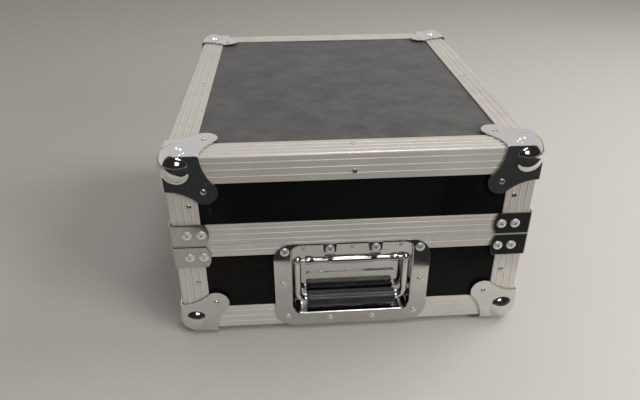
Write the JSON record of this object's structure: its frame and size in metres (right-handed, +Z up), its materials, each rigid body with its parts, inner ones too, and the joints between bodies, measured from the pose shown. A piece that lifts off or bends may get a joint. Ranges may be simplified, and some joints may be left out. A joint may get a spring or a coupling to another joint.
{
  "type": "mixer flight case",
  "caption": "Small lift-off-lid flight case for a sound mixer, with ribbed aluminium edges, ball corners, a recessed drop handle and recessed butterfly catches.",
  "frame": {"origin": "on the ground under the middle of the case, at the lowest points of the four bottom ball corners", "axes": "+Z up; -Y is the front with the recessed drop handle; +X is the right-hand side seen from the front"},
  "size_m": [0.3866, 0.4526, 0.2286],
  "materials": {
    "laminate": "black phenolic laminate, satin",
    "extrusion": "ribbed, satin anodised",
    "chrome": "bright chrome-plated pressed steel",
    "zinc": "bright zinc-plated pressed steel",
    "rubber": "moulded, fluted",
    "foam": "dark grey open-cell foam"
  },
  "bodies": {
    "base": {"base_floor_panel": "laminate", "base_front_panel": "laminate", "base_rear_panel": "laminate", "base_left_panel": "laminate", "base_right_panel": "laminate", "bottom_front_edge": "extrusion", "bottom_rear_edge": "extrusion", "bottom_left_edge": "extrusion", "bottom_right_edge": "extrusion", "base_post_front_left": "extrusion", "base_post_front_right": "extrusion", "base_post_rear_left": "extrusion", "base_post_rear_right": "extrusion", "base_lip_frame": "extrusion", "ball_corner_bottom_front_left": "chrome", "ball_corner_bottom_front_right": "chrome", "ball_corner_bottom_rear_left": "chrome", "ball_corner_bottom_rear_right": "chrome", "base_brace_front_left": "chrome", "base_brace_front_right": "chrome", "base_brace_rear_left": "chrome", "base_brace_rear_right": "chrome", "base_foam_liner": "foam", "handle_dish_plate": "chrome", "handle_hinge_strap": "chrome", "catch_dish_left": "zinc", "catch_dish_right": "zinc"},
    "lid": {"lid_top_panel": "laminate", "lid_front_panel": "laminate", "lid_rear_panel": "laminate", "lid_left_panel": "laminate", "lid_right_panel": "laminate", "top_front_edge": "extrusion", "top_rear_edge": "extrusion", "top_left_edge": "extrusion", "top_right_edge": "extrusion", "lid_post_front_left": "extrusion", "lid_post_front_right": "extrusion", "lid_post_rear_left": "extrusion", "lid_post_rear_right": "extrusion", "lid_lip_frame": "extrusion", "ball_corner_top_front_left": "chrome", "ball_corner_top_front_right": "chrome", "ball_corner_top_rear_left": "chrome", "ball_corner_top_rear_right": "chrome", "lid_brace_front_left": "chrome", "lid_brace_front_right": "chrome", "lid_brace_rear_left": "chrome", "lid_brace_rear_right": "chrome", "lid_foam_liner": "foam", "catch_keeper_left": "zinc", "catch_keeper_right": "zinc"},
    "handle": {"handle_bail": "chrome", "handle_grip": "rubber"},
    "boss_left": {"catch_boss_left": "zinc"},
    "hook_left": {"catch_hook_left": "zinc"},
    "wing_left": {"catch_wing_left": "zinc"},
    "boss_right": {"catch_boss_right": "zinc"},
    "hook_right": {"catch_hook_right": "zinc"},
    "wing_right": {"catch_wing_right": "zinc"}
  },
  "joints": [
    {"name": "lid_lift", "type": "slide", "parent": "base", "child": "lid", "axis": [0, 0, 1], "range_m": [0, 0.2]},
    {"name": "handle_swing", "type": "hinge", "parent": "base", "child": "handle", "pos_m": [0, -0.214, 0.0918], "axis": [-1, 0, 0], "range_deg": [0, 90], "stiffness_Nm_per_rad": 0.2, "springref_deg": -20.05},
    {"name": "catch_turn_left", "type": "hinge", "parent": "base", "child": "boss_left", "pos_m": [-0.186, 0, 0.0913], "axis": [-1, 0, 0], "range_deg": [0, 180]},
    {"name": "catch_draw_left", "type": "slide", "parent": "base", "child": "hook_left", "axis": [0.5039, 0, -0.8638], "range_m": [0, 0.00695]},
    {"name": "catch_fold_left", "type": "hinge", "parent": "boss_left", "child": "wing_left", "pos_m": [-0.1886, 0, 0.0913], "axis": [0, 1, 0], "range_deg": [0, 90]},
    {"name": "catch_turn_right", "type": "hinge", "parent": "base", "child": "boss_right", "pos_m": [0.186, 0, 0.0913], "axis": [1, 0, 0], "range_deg": [0, 180]},
    {"name": "catch_draw_right", "type": "slide", "parent": "base", "child": "hook_right", "axis": [-0.5039, 0, -0.8638], "range_m": [0, 0.00695]},
    {"name": "catch_fold_right", "type": "hinge", "parent": "boss_right", "child": "wing_right", "pos_m": [0.1886, 0, 0.0913], "axis": [0, -1, 0], "range_deg": [0, 90]}
  ],
  "couplings": [
    {"joint": "catch_turn_left", "follows": "catch_draw_left", "rad_per_m": 452},
    {"joint": "catch_turn_right", "follows": "catch_draw_right", "rad_per_m": 452}
  ]
}
